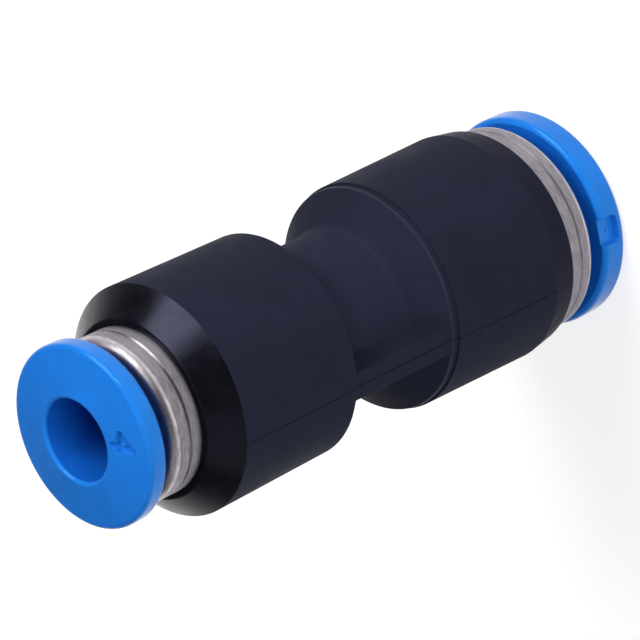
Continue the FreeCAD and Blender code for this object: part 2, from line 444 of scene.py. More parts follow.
class Effect:
    """A shader node group that is built once and placed in each material with its own values.

    Attributes:
        name: Name of the group.
        inputs: Its inputs' names and their values where a material gives none.
        outputs: Its outputs' names.
    """

    name = "effect"
    inputs: tuple[tuple[str, float], ...] = ()
    outputs: tuple[str, ...] = ()

    def fill(self, graph: Graph, inlet: bpy.types.Node, outlet: bpy.types.Node) -> None:
        """Fills the group. Each effect has its own.

        Args:
            graph: The group's graph.
            inlet: The node that gives the inputs.
            outlet: The node that takes the outputs.
        """
        raise NotImplementedError

    def group(self) -> bpy.types.NodeTree:
        """Builds the group, or finds the one that was built before.

        Returns:
            The node group.
        """
        found = bpy.data.node_groups.get(self.name)
        if found:
            return found
        tree = bpy.data.node_groups.new(self.name, "ShaderNodeTree")
        for label, value in self.inputs:
            socket = tree.interface.new_socket(label, in_out="INPUT", socket_type="NodeSocketFloat")
            socket.default_value = value
        for label in self.outputs:
            tree.interface.new_socket(label, in_out="OUTPUT", socket_type="NodeSocketFloat")
        graph = Graph(tree)
        self.fill(graph, graph.add("NodeGroupInput"), graph.add("NodeGroupOutput"))
        return tree

    def place(self, graph: Graph, **values: Any) -> bpy.types.Node:
        """Places the group in a material.

        Args:
            graph: The material's graph.
            values: The group's inputs by name, with _ for a space.

        Returns:
            The group's node.
        """
        node = graph.add("ShaderNodeGroup", node_tree=self.group())
        for label, value in values.items():
            graph.feed(node.inputs[label.replace("_", " ")], value)
        return node


class MouldTexture(Effect):
    """The fine grain that a mould leaves on plastic, with slow changes of tone over it."""

    name = "mould_texture"
    inputs = (("Grain", 0.05 * MM), ("Patch", 3.0 * MM))
    outputs = ("Height", "Tone")

    def fill(self, graph: Graph, inlet: bpy.types.Node, outlet: bpy.types.Node) -> None:
        """Adds a fine noise for the grain and a coarse one for the tone.

        Args:
            graph: The group's graph.
            inlet: Gives the grain's size and the patches' size.
            outlet: Takes the height and the tone.
        """
        place = graph.object_place()
        grain = graph.math("DIVIDE", 1.0, inlet.outputs["Grain"])
        patch = graph.math("DIVIDE", 1.0, inlet.outputs["Patch"])
        graph.feed(outlet.inputs["Height"], graph.noise(place, grain, detail=2.0, roughness=0.55))
        tone = graph.noise(place, patch, detail=3.0, roughness=0.6)
        graph.feed(outlet.inputs["Tone"], graph.grade(tone, 0.3, 0.7, 0.0, 1.0))


class TurnedLines(Effect):
    """Fine lines round the axis, as a lathe leaves them, with longer bright and dull streaks."""

    name = "turned_lines"
    inputs = (("Spacing", 0.06 * MM), ("Run", 6.0 * MM))
    outputs = ("Height", "Streaks")

    def fill(self, graph: Graph, inlet: bpy.types.Node, outlet: bpy.types.Node) -> None:
        """Stretches two noises round the axis.

        Args:
            graph: The group's graph.
            inlet: Gives the distance between lines and the length of a line.
            outlet: Takes the height and the streaks.
        """
        place = graph.add("ShaderNodeSeparateXYZ", {0: graph.object_place()})
        round_scale = graph.math("DIVIDE", 1.0, inlet.outputs["Run"])
        line_scale = graph.math("DIVIDE", 1.0, inlet.outputs["Spacing"])
        across = [graph.math("MULTIPLY", place.outputs[i], round_scale) for i in (0, 1)]
        for label, share, detail in (("Height", 1.0, 3.0), ("Streaks", 0.55, 4.0)):
            along = graph.math("MULTIPLY", graph.math("MULTIPLY", place.outputs[2], line_scale), share)
            stretched = graph.add("ShaderNodeCombineXYZ", {0: across[0], 1: across[1], 2: along}).outputs[0]
            graph.feed(outlet.inputs[label], graph.noise(stretched, 1.0, detail, roughness=0.6))


class PartingLine(Effect):
    """The thin line where the two halves of the mould meet, in the plane of the ribs."""

    name = "parting_line"
    inputs = (("Half Width", 0.03 * MM),)
    outputs = ("Mask",)

    def fill(self, graph: Graph, inlet: bpy.types.Node, outlet: bpy.types.Node) -> None:
        """Marks the points near the plane y = 0.

        Args:
            graph: The group's graph.
            inlet: Gives half of the line's width.
            outlet: Takes the mask.
        """
        place = graph.add("ShaderNodeSeparateXYZ", {0: graph.object_place()})
        away = graph.math("DIVIDE", graph.math("ABSOLUTE", place.outputs[1]), inlet.outputs["Half Width"])
        graph.feed(outlet.inputs["Mask"], graph.grade(away, 0.5, 1.5, 1.0, 0.0))


class PaintedNeckLight(Effect):
    """Painted light on the body's neck: a paler tone that fades out towards its ends."""

    name = "painted_neck_light"
    inputs = (("Radius", 4.6 * MM), ("Radius Fade", 0.4 * MM), ("Bottom", 14.6 * MM),
              ("Bottom Fade", 1.6 / 3 * MM), ("Top", 19.2 * MM), ("Top Fade", 1.6 * MM))
    outputs = ("Mask",)

    def fill(self, graph: Graph, inlet: bpy.types.Node, outlet: bpy.types.Node) -> None:
        """Marks the points near the axis between two heights.

        Args:
            graph: The group's graph.
            inlet: Gives the neck's radius and heights and how far its painted light fades beyond or within
                them.
            outlet: Takes the mask.
        """
        place = graph.add("ShaderNodeSeparateXYZ", {0: graph.object_place()})
        squares = [graph.math("MULTIPLY", place.outputs[i], place.outputs[i]) for i in (0, 1)]
        radius = graph.math("POWER", graph.math("ADD", *squares), 0.5)
        outside = graph.math("SUBTRACT", radius, inlet.outputs["Radius"])
        above = graph.math("SUBTRACT", place.outputs[2], inlet.outputs["Bottom"])
        below = graph.math("SUBTRACT", inlet.outputs["Top"], place.outputs[2])
        mask = 1.0
        for distance, fade, ends in ((above, "Bottom Fade", (0.0, 1.0)), (below, "Top Fade", (0.0, 1.0)),
                                     (outside, "Radius Fade", (1.0, 0.0))):
            share = graph.grade(graph.math("DIVIDE", distance, inlet.outputs[fade]), 0.0, 1.0, *ends)
            mask = graph.math("MULTIPLY", mask, share)
        graph.feed(outlet.inputs["Mask"], mask)


@dataclass(frozen=True)
class MouldedPlastic:
    """A finish of moulded plastic or rubber.

    Attributes:
        name: Name of the material.
        color: Its colour, in linear values.
        drift: Its colour where the tone is high.
        roughness: Lowest and highest roughness.
        specular: Level of its reflection.
        grain: Size of the mould's grain.
        depth: Height of the grain.
        patch: Size of the patches of tone.
        line: How much darker the parting line is, or 0 for none.
        tint: Tint of its reflection where it is looked at squarely.
        neck: How much paler painted light makes the body's neck, or 0 for none.
    """

    name: str
    color: tuple[float, float, float]
    drift: tuple[float, float, float]
    roughness: tuple[float, float]
    specular: float
    grain: float
    depth: float
    patch: float
    line: float = 0.0
    tint: tuple[float, float, float] = (1.0, 1.0, 1.0)
    neck: float = 0.0

    def material(self) -> bpy.types.Material:
        """Builds the material.

        Returns:
            The material.
        """
        material, graph, shader = new_material(self.name)
        texture = MouldTexture().place(graph, Grain=self.grain, Patch=self.patch)
        tone = texture.outputs["Tone"]
        color = graph.mix(tone, (*self.color, 1), (*self.drift, 1))
        # Painted light: the neck's colour is made paler where light falls on it
        if self.neck:
            mask = PaintedNeckLight().place(graph).outputs["Mask"]
            pale = (*(c * (1 + self.neck) for c in self.drift), 1)
            color = graph.mix(mask, color, pale)
        if self.line:
            mask = PartingLine().place(graph).outputs["Mask"]
            dark = (*(c * (1 - self.line) for c in self.color), 1)
            color = graph.mix(mask, color, dark)
        graph.feed(shader.inputs["Base Color"], color)
        graph.feed(shader.inputs["Roughness"], graph.grade(tone, 0.0, 1.0, *self.roughness))
        shader.inputs["Specular IOR Level"].default_value = self.specular
        shader.inputs["Specular Tint"].default_value = (*self.tint, 1)
        bump = graph.add("ShaderNodeBump", {"Height": texture.outputs["Height"], "Distance": self.depth})
        graph.feed(shader.inputs["Normal"], bump.outputs[0])
        return material


@dataclass(frozen=True)
class TurnedMetal:
    """A finish of bright metal with fine lines round the axis.

    Attributes:
        name: Name of the material.
        color: Its colour, in linear values.
        dull: Its colour in dull streaks.
        roughness: Lowest and highest roughness.
        spread: How far the lines spread a highlight across them, from 0 to 1.
        spacing: Distance between lines.
        run: Length of a line.
        depth: Depth of the lines.
    """

    name: str
    color: tuple[float, float, float]
    dull: tuple[float, float, float]
    roughness: tuple[float, float]
    spread: float
    spacing: float
    run: float
    depth: float

    def material(self) -> bpy.types.Material:
        """Builds the material.

        Returns:
            The material.
        """
        material, graph, shader = new_material(self.name)
        lines = TurnedLines().place(graph, Spacing=self.spacing, Run=self.run)
        dull = graph.grade(lines.outputs["Streaks"], 0.3, 0.75, 0.0, 1.0)
        graph.feed(shader.inputs["Base Color"], graph.mix(dull, (*self.color, 1), (*self.dull, 1)))
        graph.feed(shader.inputs["Roughness"], graph.grade(dull, 0.0, 1.0, *self.roughness))
        shader.inputs["Metallic"].default_value = 1.0
        shader.inputs["Anisotropic"].default_value = self.spread
        shader.inputs["Anisotropic Rotation"].default_value = QUARTER_TURN
        tangent = graph.add("ShaderNodeTangent", direction_type="RADIAL", axis="Z")
        graph.feed(shader.inputs["Tangent"], tangent.outputs[0])
        bump = graph.add("ShaderNodeBump", {"Height": lines.outputs["Height"], "Distance": self.depth})
        graph.feed(shader.inputs["Normal"], bump.outputs[0])
        return material


def blank_graph(owner: bpy.types.Material | bpy.types.World) -> Graph:
    """Clears the shader nodes of a material or a world.

    Args:
        owner: The material or the world.

    Returns:
        Its empty graph.
    """
    owner.use_nodes = True
    owner.node_tree.nodes.clear()
    return Graph(owner.node_tree)


def new_material(name: str) -> tuple[bpy.types.Material, Graph, bpy.types.Node]:
    """Makes a material with a Principled shader alone.

    Args:
        name: Name of the material.

    Returns:
        The material, its graph and its shader.
    """
    material = bpy.data.materials.new(name)
    graph = blank_graph(material)
    shader = graph.add("ShaderNodeBsdfPrincipled")
    graph.add("ShaderNodeOutputMaterial", {"Surface": shader.outputs[0]})
    return material, graph, shader


# The body's textured black also paints light onto its neck through its neck value
TEXTURED_BLACK = MouldedPlastic(
    name="textured_black", color=(0.0150, 0.0170, 0.0325), drift=(0.0182, 0.0202, 0.0385),
    roughness=(0.55, 0.65), specular=0.03, grain=0.07 * MM, depth=0.006 * MM, patch=2.5 * MM,
    line=0.6, neck=0.18)
POLISHED_BLACK = MouldedPlastic(
    name="polished_black", color=(0.003, 0.003, 0.005), drift=(0.004, 0.004, 0.006),
    roughness=(0.22, 0.3), specular=0.27, grain=0.12 * MM, depth=0.0008 * MM, patch=1.2 * MM,
    tint=(0.62, 0.64, 1.0))
# Painted highlight: a paler black for the edge roundings, standing in for the highlight along them; its
# glossier satin finish is real
SATIN_BLACK_PAINTED_HIGHLIGHT = MouldedPlastic(
    name="satin_black_painted_highlight", color=(0.0225, 0.0245, 0.0420), drift=(0.0290, 0.0310, 0.0520),
    roughness=(0.36, 0.46), specular=0.07, grain=0.1 * MM, depth=0.002 * MM, patch=1.0 * MM,
    tint=(0.7, 0.72, 1.0))
SMOOTH_BLACK = MouldedPlastic(
    name="smooth_black", color=(0.0108, 0.0110, 0.0225), drift=(0.0132, 0.0136, 0.0275),
    roughness=(0.42, 0.52), specular=0.04, grain=0.1 * MM, depth=0.002 * MM, patch=1.0 * MM,
    tint=(0.6, 0.62, 1.0))
RING_BLUE = MouldedPlastic(
    name="ring_blue", color=(0.0130, 0.182, 0.67), drift=(0.0148, 0.199, 0.73),
    roughness=(0.1, 0.17), specular=0.4, grain=0.09 * MM, depth=0.0006 * MM, patch=1.5 * MM,
    tint=(0.2, 0.7, 1.0))
# Painted shade: a darker copy of the ring's blue for the flange's back and the bore, where shade falls
PAINTED_SHADE_BLUE = MouldedPlastic(
    name="painted_shade_blue", color=(0.005, 0.105, 0.50), drift=(0.006, 0.115, 0.54),
    roughness=(0.3, 0.4), specular=0.1, grain=0.09 * MM, depth=0.001 * MM, patch=1.5 * MM)
POLISHED_NICKEL = TurnedMetal(
    name="polished_nickel", color=(0.60, 0.56, 0.59), dull=(0.34, 0.31, 0.33),
    roughness=(0.36, 0.5), spread=0.0, spacing=0.05 * MM, run=0.7 * MM, depth=0.002 * MM)
# Painted shade: the walls' nickel is darker than the rim's plain nickel, standing in for the darker
# surroundings it reflects; its turned lines and streaks are real
TURNED_NICKEL_PAINTED_SHADE = TurnedMetal(
    name="turned_nickel_painted_shade", color=(0.315, 0.292, 0.322), dull=(0.225, 0.207, 0.229),
    roughness=(0.32, 0.46), spread=0.8, spacing=0.05 * MM, run=0.6 * MM, depth=0.003 * MM)
SPRING_STRIP = TurnedMetal(
    name="spring_strip", color=(0.52, 0.51, 0.50), dull=(0.38, 0.37, 0.36),
    roughness=(0.25, 0.4), spread=0.3, spacing=0.1 * MM, run=6.0 * MM, depth=0.002 * MM)
SUPPORT_WHITE = MouldedPlastic(
    name="support_white", color=(0.70, 0.69, 0.64), drift=(0.76, 0.75, 0.70),
    roughness=(0.45, 0.55), specular=0.5, grain=0.08 * MM, depth=0.003 * MM, patch=1.5 * MM)
SEAL_BLACK = MouldedPlastic(
    name="seal_black", color=(0.016, 0.016, 0.017), drift=(0.024, 0.024, 0.025),
    roughness=(0.6, 0.75), specular=0.4, grain=0.06 * MM, depth=0.005 * MM, patch=1.0 * MM)


class Way(Enum):
    """The way along the axis that an end of the fitting faces."""

    UP = 1
    DOWN = -1


@dataclass(frozen=True)
class End:
    """One end of the fitting.

    Attributes:
        name: The first word of its nodes' names.
        way: The way that it faces.
        tube_d: Outside diameter of its tube.
    """

    name: str
    way: Way
    tube_d: float

    def node(self, piece: str) -> str:
        """The name of one of this end's nodes."""
        return f"{self.name}_{piece}"

    def reach(self, node: str) -> tuple[float, float]:
        """The heights of a node's inner and outer end, as this end faces."""
        low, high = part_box(node)
        return (low.z, high.z) if self.way is Way.UP else (high.z, low.z)

    def beyond(self, z: float, distance: float) -> float:
        """The height at a distance outwards from another height."""
        return z + self.way.value * distance

    def radius(self, node: str) -> float:
        """The largest radius of a node."""
        low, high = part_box(node)
        return (high.y - low.y) / 2

    @property
    def mouth(self) -> float:
        """The height of the body's mouth."""
        return self.reach("body")[1]


@dataclass(frozen=True)
class Socket:
    """The stepped bore of one end of the body.

    Attributes:
        end: The end that it is in.
        mouth_d: Outside diameter of the body at the mouth.
        bevel_height: Height of the bevel beside the mouth.
        spigot_d: Bore for the sleeve's spigot.
        seal_d: Bore for the seal.
        mount: Name of the mount of the tube's socket.
        recess_depth: Depth of the seat of the sleeve's collar.
        clearance: Room round the sleeve's collar.
        chamfer: Size of the chamfer of the recess.
    """

    end: End
    mouth_d: float
    bevel_height: float
    spigot_d: float
    seal_d: float
    mount: str
    recess_depth: float = 0.5 * MM
    clearance: float = 0.03 * MM
    chamfer: float = 0.03 * MM

    def tube_stop(self) -> tuple[float, float]:
        """Finds the tube's socket in the record.

        Returns:
            Its radius and the height of its floor.
        """
        mount = next(m for m in frame["record"]["mounts"] if m["name"] == self.mount)
        half = mount["dims"]["length_mm"] * MM / 2
        return mount["dims"]["r_mm"] * MM, self.end.beyond(mount["pos_m"][2], -half)

    def corners(self) -> list[Corner]:
        """Lays out the bore from the mouth's rim to the tube stop.

        Returns:
            Its corners.
        """
        end = self.end
        seat = end.radius(end.node("retaining_sleeve")) + self.clearance
        seal_top = end.reach(end.node("support_ring"))[0]
        socket_top = end.reach(end.node("seal_ring"))[0]
        socket_r, stop = self.tube_stop()
        places = [
            (seat + self.chamfer, end.mouth),
            (seat, end.beyond(end.mouth, -self.chamfer)),
            (seat, end.beyond(end.mouth, -self.recess_depth)),
            (self.spigot_d / 2, end.beyond(end.mouth, -self.recess_depth)),
            (self.spigot_d / 2, seal_top),
            (self.seal_d / 2, seal_top),
            (self.seal_d / 2, socket_top),
            (socket_r, socket_top),
            (socket_r, stop),
        ]
        return [Corner(radius, z, step=PLAIN_ROW_STEP) for radius, z in places]


class BodyFinish(IntEnum):
    """The body's finishes, numbered as its materials are."""

    TEXTURED = 0
    POLISHED = 1
    SATIN = 2
    SMOOTH = 3


@dataclass
class Body:
    """The moulded black body: two barrels, a neck with a cone and two flat ribs, and the stepped bores.

    Attributes:
        small: The small end's stepped bore.
        large: The large end's stepped bore.
        barrel_r: Radius of both barrels beside their bevels.
        small_root_r: Radius of the small barrel at the neck, where its taper ends.
        small_length: Length of the small barrel.
        small_round: Rounding of its edge at the neck.
        large_root_r: Radius of the large barrel at the step, where its taper ends.
        large_length: Length of the large barrel up to the cone.
        large_round: Rounding of the cone's outer edge.
        step_height: How far the barrel is stepped down beside the cone.
        step_length: Length of that step.
        step_round: Rounding of its edge.
        bevel_round: Rounding between bevel and barrel.
        mouth_round: Rounding of the mouths' rims.
        neck_r: Radius of the neck.
        cone_height: Height of the cone between the neck and the large barrel.
        neck_large_round: Rounding between neck and cone.
        neck_small_round: Rounding between neck and small barrel.
        rib_half_span: Distance from the axis to a rib's outer face.
        rib_half_thickness: Half of a rib's thickness.
        rib_edge: Rounding of the ribs' long edges.
        rib_fillet: Rounding where the ribs meet the neck, the cone and the barrels.
        rib_margin: How far round the ribs the mesh is fitted to their form.
        through_r: Radius of the bore between the tube stops.
        bore_wall: Least distance from that bore to the outer form.
        line_half_width: Half of the parting line's width.
        line_depth: Its depth.
        line_margin: How far within the neck's radius it is still pressed in.
        fine_step: Distance between rows on the neck and the step.
        through_step: Distance between rows in the through bore.
    """

    small: Socket
    large: Socket
    barrel_r: float = 6.244 * MM
    small_root_r: float = 6.07 * MM
    small_length: float = 9.4 * MM
    small_round: float = 0.12 * MM
    large_root_r: float = 6.19 * MM
    large_length: float = 9.25 * MM
    large_round: float = 0.16 * MM
    step_height: float = 0.1 * MM
    step_length: float = 0.4 * MM
    step_round: float = 0.03 * MM
    bevel_round: float = 0.07 * MM
    mouth_round: float = 0.3 * MM
    neck_r: float = 4.38 * MM
    cone_height: float = 1.62 * MM
    neck_large_round: float = 0.5 * MM
    neck_small_round: float = 0.3 * MM
    rib_half_span: float = 5.98 * MM
    rib_half_thickness: float = 0.8 * MM
    rib_edge: float = 0.06 * MM
    rib_fillet: float = 0.06 * MM
    rib_margin: float = 1.0 * MM
    through_r: float = 1.35 * MM
    bore_wall: float = 2.0 * MM
    line_half_width: float = 0.04 * MM
    line_depth: float = 0.02 * MM
    line_margin: float = 0.1 * MM
    fine_step: float = 0.09 * MM
    through_step: float = 4.0 * MM

    def outside(self) -> list[Corner]:
        """Lays out the outer form, from the large mouth to the small mouth.

        Returns:
            Its corners.
        """
        bottom, top = self.large.end.mouth, self.small.end.mouth
        large_face = bottom + self.large_length
        small_face = top - self.small_length
        step_z = large_face - self.step_length
        step_r = self.large_root_r - self.step_height
        edge = self.bevel_round
        return [
            Corner(self.large.mouth_d / 2, bottom, self.mouth_round, finish=BodyFinish.SMOOTH),
            # The edge roundings at the large bevel and at the cone take the satin finish, whose paler
            # colour is painted highlight
            Corner(self.barrel_r, bottom + self.large.bevel_height, edge, arc_finish=BodyFinish.SATIN),
            Corner(self.large_root_r, step_z, self.step_round),
            Corner(step_r, step_z, 0.0, self.fine_step),
            Corner(step_r, large_face, self.large_round, self.fine_step, arc_finish=BodyFinish.SATIN),
            Corner(self.neck_r, large_face + self.cone_height, self.neck_large_round),
            Corner(self.neck_r, small_face, self.neck_small_round, self.fine_step),
            Corner(self.small_root_r, small_face, self.small_round),
            Corner(self.barrel_r, top - self.small.bevel_height, edge, finish=BodyFinish.POLISHED),
            Corner(self.small.mouth_d / 2, top, self.mouth_round, finish=BodyFinish.POLISHED),
        ]

    def corners(self) -> list[Corner]:
        """Lays out the whole outline: the outer form up, and the stepped bores back down.

        Returns:
            Its corners.
        """
        through = [Corner(self.through_r, socket.tube_stop()[1], step=self.through_step)
                   for socket in (self.small, self.large)]
        return self.outside() + self.small.corners() + through + self.large.corners()[::-1]

    def rib_radius(self, angles: np.ndarray) -> np.ndarray:
        """Measures from the axis to the ribs' flat faces.

        Args:
            angles: The azimuths to measure at.

        Returns:
            The distance at each azimuth.
        """
        turn = np.radians(angles)
        span = self.rib_half_span / np.maximum(np.abs(np.cos(turn)), 1e-9)
        side = self.rib_half_thickness / np.maximum(np.abs(np.sin(turn)), 1e-9)
        return np.minimum(span, side)

    def distance(self, points: np.ndarray, outline: np.ndarray) -> np.ndarray:
        """Measures to the outer form, with a fillet where the ribs meet the neck and the barrels.

        Args:
            points: Places to measure from.
            outline: The outer form's outline, closed through the axis.

        Returns:
            A distance for each point, below 0 inside.
        """
        radius = np.hypot(points[:, 0], points[:, 1])
        turned = outline_distance(np.stack((radius, points[:, 2]), axis=1), outline)
        x = np.abs(points[:, 0]) - self.rib_half_span + self.rib_edge
        y = np.abs(points[:, 1]) - self.rib_half_thickness + self.rib_edge
        rib = np.hypot(np.maximum(x, 0), np.maximum(y, 0)) + np.minimum(np.maximum(x, y), 0) - self.rib_edge
        near = np.hypot(np.maximum(self.rib_fillet - turned, 0), np.maximum(self.rib_fillet - rib, 0))
        return np.maximum(self.rib_fillet, np.minimum(turned, rib)) - near

    def settle(self, points: np.ndarray, outline: np.ndarray) -> np.ndarray:
        """Moves points onto the filleted outer form.

        Args:
            points: Points near it.
            outline: The outer form's outline, closed through the axis.

        Returns:
            The moved points.
        """
        nudge, rounds, least_slope = 0.001 * MM, 4, 0.2
        for _ in range(rounds):
            here = self.distance(points, outline)
            slope = np.stack([(self.distance(points + step, outline) - here) / nudge
                              for step in np.eye(3) * nudge], axis=1)
            points = points - slope * (here / np.maximum((slope ** 2).sum(axis=1), least_slope))[:, None]
        return points

    def columns(self) -> np.ndarray:
        """Spreads the columns, closer at the ribs and closest at their sides and the parting line.

        Returns:
            The columns' azimuths.
        """
        corner = math.degrees(math.atan2(self.rib_half_thickness, self.rib_half_span))
        root = math.degrees(math.asin(self.rib_half_thickness / self.neck_r))
        beside, margin, rib_turn, side_turn, line_turn = 5.0, 0.6, 0.5, 0.14, 0.15
        spans = []
        for middle in (0.0, 180.0):
            spans.append(FineSpan(middle, root + beside, rib_turn))
            for side in (-1, 1):
                side_middle = middle + side * (corner + root) / 2
                spans.append(FineSpan(side_middle, (root - corner) / 2 + margin, side_turn))
            spans.append(FineSpan(middle, margin, line_turn))
        return column_angles(spans)

    def build(self, materials: Sequence[bpy.types.Material]) -> bpy.types.Object:
        """Builds the body.

        Args:
            materials: The textured, the polished, the satin with its painted highlight and the smooth
                finish.

        Returns:
            The piece.
        """
        outline = trace(self.corners())
        grid = TurnedGrid(outline, self.columns())
        neck_zone = outer_zone(outline.points, self.large.end.mouth + self.large_length - self.step_length,
                               self.small.end.mouth - self.small_length + self.small_round,
                               self.through_r + self.bore_wall)
        ribs = self.rib_radius(grid.angles)[None, :]
        grid.radius[neck_zone] = np.maximum(grid.radius[neck_zone], ribs)
        points = grid.points()
        near = neck_zone[:, None] & (np.abs(points[..., 1]) < self.rib_half_thickness + self.rib_margin)
        bottom, top = self.large.end.mouth, self.small.end.mouth
        closed = trace([Corner(0, bottom), *self.outside(), Corner(0, top)]).points
        points[near] = self.settle(points[near], closed)
        self.press_line(points, outline)
        return make_piece("moulded_body", points, outline.finishes, materials)

    def press_line(self, points: np.ndarray, outline: Outline) -> None:
        """Presses the parting line's fine groove into all rows between the bevels beyond a radius.

        Args:
            points: The grid's points, changed in place.
            outline: The outline that the grid was turned from.
        """
        rows = outer_zone(outline.points, self.large.end.mouth + self.large.bevel_height,
                          self.small.end.mouth - self.small.bevel_height, self.neck_r - self.line_margin)
        away = np.abs(points[..., 1]) / self.line_half_width
        depth = self.line_depth * np.clip(1 - away, 0, 1) * rows[:, None]
        points[..., 0] -= np.sign(points[..., 0]) * depth

    def dress(self) -> bpy.types.Object:
        """Builds the body in its finishes, in place of its node.

        Returns:
            The piece.
        """
        finishes = {
            BodyFinish.TEXTURED: TEXTURED_BLACK,
            BodyFinish.POLISHED: POLISHED_BLACK,
            BodyFinish.SATIN: SATIN_BLACK_PAINTED_HIGHLIGHT,
            BodyFinish.SMOOTH: SMOOTH_BLACK,
        }
        piece = self.build([finishes[number].material() for number in BodyFinish])
        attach(piece, "housing")
        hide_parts("body")
        return piece


def outer_zone(points: np.ndarray, low: float, high: float, inside: float) -> np.ndarray:
    """Marks the rows of an outline between two heights, outside a radius."""
    return (points[:, 1] > low) & (points[:, 1] < high) & (points[:, 0] > inside)


def outline_distance(points: np.ndarray, outline: np.ndarray) -> np.ndarray:
    """Measures from points to a closed outline.

    Args:
        points: Places in the half-plane.
        outline: The outline's points in order.

    Returns:
        A distance for each point, below 0 inside.
    """
    best = np.full(len(points), np.inf)
    crossings = np.zeros(len(points), int)
    for start, end in zip(outline, np.roll(outline, -1, axis=0)):
        along = end - start
        offset = points - start
        share = np.clip(offset @ along / max(along @ along, 1e-30), 0, 1)
        best = np.minimum(best, np.hypot(*(offset - share[:, None] * along).T))
        straddles = (start[1] > points[:, 1]) != (end[1] > points[:, 1])
        if along[1] != 0:
            reach = start[0] + (points[:, 1] - start[1]) * along[0] / along[1]
            crossings += straddles & (points[:, 0] < reach)
    return np.where(crossings % 2 == 1, -best, best)


class SleeveFinish(IntEnum):
    """A sleeve's finishes, numbered as its materials are."""

    POLISHED = 0
    TURNED = 1


@dataclass
class RetainingSleeve:
    """A plated sleeve: the collar that shows, the spigot in the body and the inturned lip.

    Attributes:
        end: The end that it is in.
        collar_proud: How far the collar stands out of the mouth.
        collar_round: Rounding of the collar's rim.
        spigot_d: Outside diameter of the spigot.
        lip_r: Radius of the hole in the lip.
        groove: Distance from the mouth out to the middle of the fine groove.
        wall: Thickness of the spigot's wall.
        lip: Thickness of the inturned lip.
        lip_round: Rounding of the hole's edge at the rim.
        seat_depth: How deep the collar sits in the body.
        groove_width: Width of the groove.
        groove_depth: Its depth.
        groove_round: Rounding of its edges.
    """

    end: End
    collar_proud: float
    collar_round: float
    spigot_d: float
    lip_r: float
    groove: float
    wall: float = 0.7 * MM
    lip: float = 1.0 * MM
    lip_round: float = 0.1 * MM
    seat_depth: float = 0.5 * MM
    groove_width: float = 0.2 * MM
    groove_depth: float = 0.08 * MM
    groove_round: float = 0.03 * MM

    def corners(self) -> list[Corner]:
        """Lays out the sleeve's outline.

        Returns:
            Its corners.
        """
        node = self.end.node("retaining_sleeve")
        inner, rim = self.end.reach(node)
        collar_r = self.end.radius(node)
        spigot_r = self.spigot_d / 2
        mouth = self.end.beyond(rim, -self.collar_proud)
        groove = self.end.beyond(mouth, self.groove)
        seat = self.end.beyond(mouth, -self.seat_depth)
        half = self.end.way.value * self.groove_width / 2
        lip_inside = self.end.beyond(rim, -self.lip)
        # The collar's walls and the spigot take the darker nickel, which is painted shade; the rim and the
        # lip keep the plain nickel
        turned = SleeveFinish.TURNED
        return [
            Corner(self.lip_r, rim, self.lip_round),
            Corner(collar_r, rim, self.collar_round, finish=turned),
            Corner(collar_r, groove + half, self.groove_round, finish=turned),
            Corner(collar_r - self.groove_depth, groove, finish=turned),
            Corner(collar_r, groove - half, self.groove_round, finish=turned),
            Corner(collar_r, seat, finish=turned),
            Corner(spigot_r, seat, finish=turned),
            Corner(spigot_r, inner, finish=turned),
            Corner(spigot_r - self.wall, inner, finish=turned),
            Corner(spigot_r - self.wall, lip_inside, finish=turned),
            Corner(self.lip_r, lip_inside),
        ]

    def dress(self) -> bpy.types.Object:
        """Builds the sleeve in its finishes, in place of its node.

        Returns:
            The piece.
        """
        node = self.end.node("retaining_sleeve")
        outline = trace(self.corners())
        grid = TurnedGrid(outline, column_angles([]))
        finishes = {SleeveFinish.POLISHED: POLISHED_NICKEL, SleeveFinish.TURNED: TURNED_NICKEL_PAINTED_SHADE}
        piece = make_piece(self.end.node("plated_sleeve"), grid.points(), outline.finishes,
                           [finishes[number].material() for number in SleeveFinish])
        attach(piece, "housing")
        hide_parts(node)
        return piece


class Numeral(Enum):
    """A plain numeral, drawn with round-ended strokes, with its top towards +X and its middle at 0."""

    FOUR = 4
    SIX = 6

    def distance(self, x: np.ndarray, y: np.ndarray, height: float) -> np.ndarray:
        """Measures to the middle of the nearest stroke.

        Args:
            x: Places along the numeral's height.
            y: Places across it.
            height: The numeral's height.

        Returns:
            The distances.
        """
        return self.four(x, y, height) if self is Numeral.FOUR else self.six(x, y, height)

    def four(self, x: np.ndarray, y: np.ndarray, height: float) -> np.ndarray:
        """Measures to a 4 of three straight strokes: stem, bar and slope.

        Args:
            x: Places along the numeral's height.
            y: Places across it.
            height: The numeral's height.

        Returns:
            The distances.
        """
        high, side, bar = 0.5 * height, 0.36 * height, 0.22 * height
        stem = ((-high, -bar), (high, -bar))
        level = ((-bar, -side), (-bar, side))
        slope = ((-bar, side), (high, -bar))
        return np.min([stroke_distance(x, y, *line) for line in (stem, level, slope)], axis=0)

    def six(self, x: np.ndarray, y: np.ndarray, height: float) -> np.ndarray:
        """Measures to a 6: a round bowl and a wide arc for its back.

        Args:
            x: Places along the numeral's height.
            y: Places across it.
            height: The numeral's height.

        Returns:
            The distances.
        """
        bowl_r, back_r, back_end = 0.29 * height, 0.9 * height, 35.0
        up = x - (bowl_r - height / 2)
        across = y - (bowl_r - back_r)
        bowl = np.abs(np.hypot(up, y) - bowl_r)
        back = np.abs(np.hypot(up, across) - back_r)
        turn = np.degrees(np.arctan2(across, up))
        end = math.radians(back_end)
        tip = np.hypot(up - back_r * math.cos(end), across - back_r * math.sin(end))
        return np.minimum(bowl, np.where((turn > back_end) & (turn < 90), back, tip))


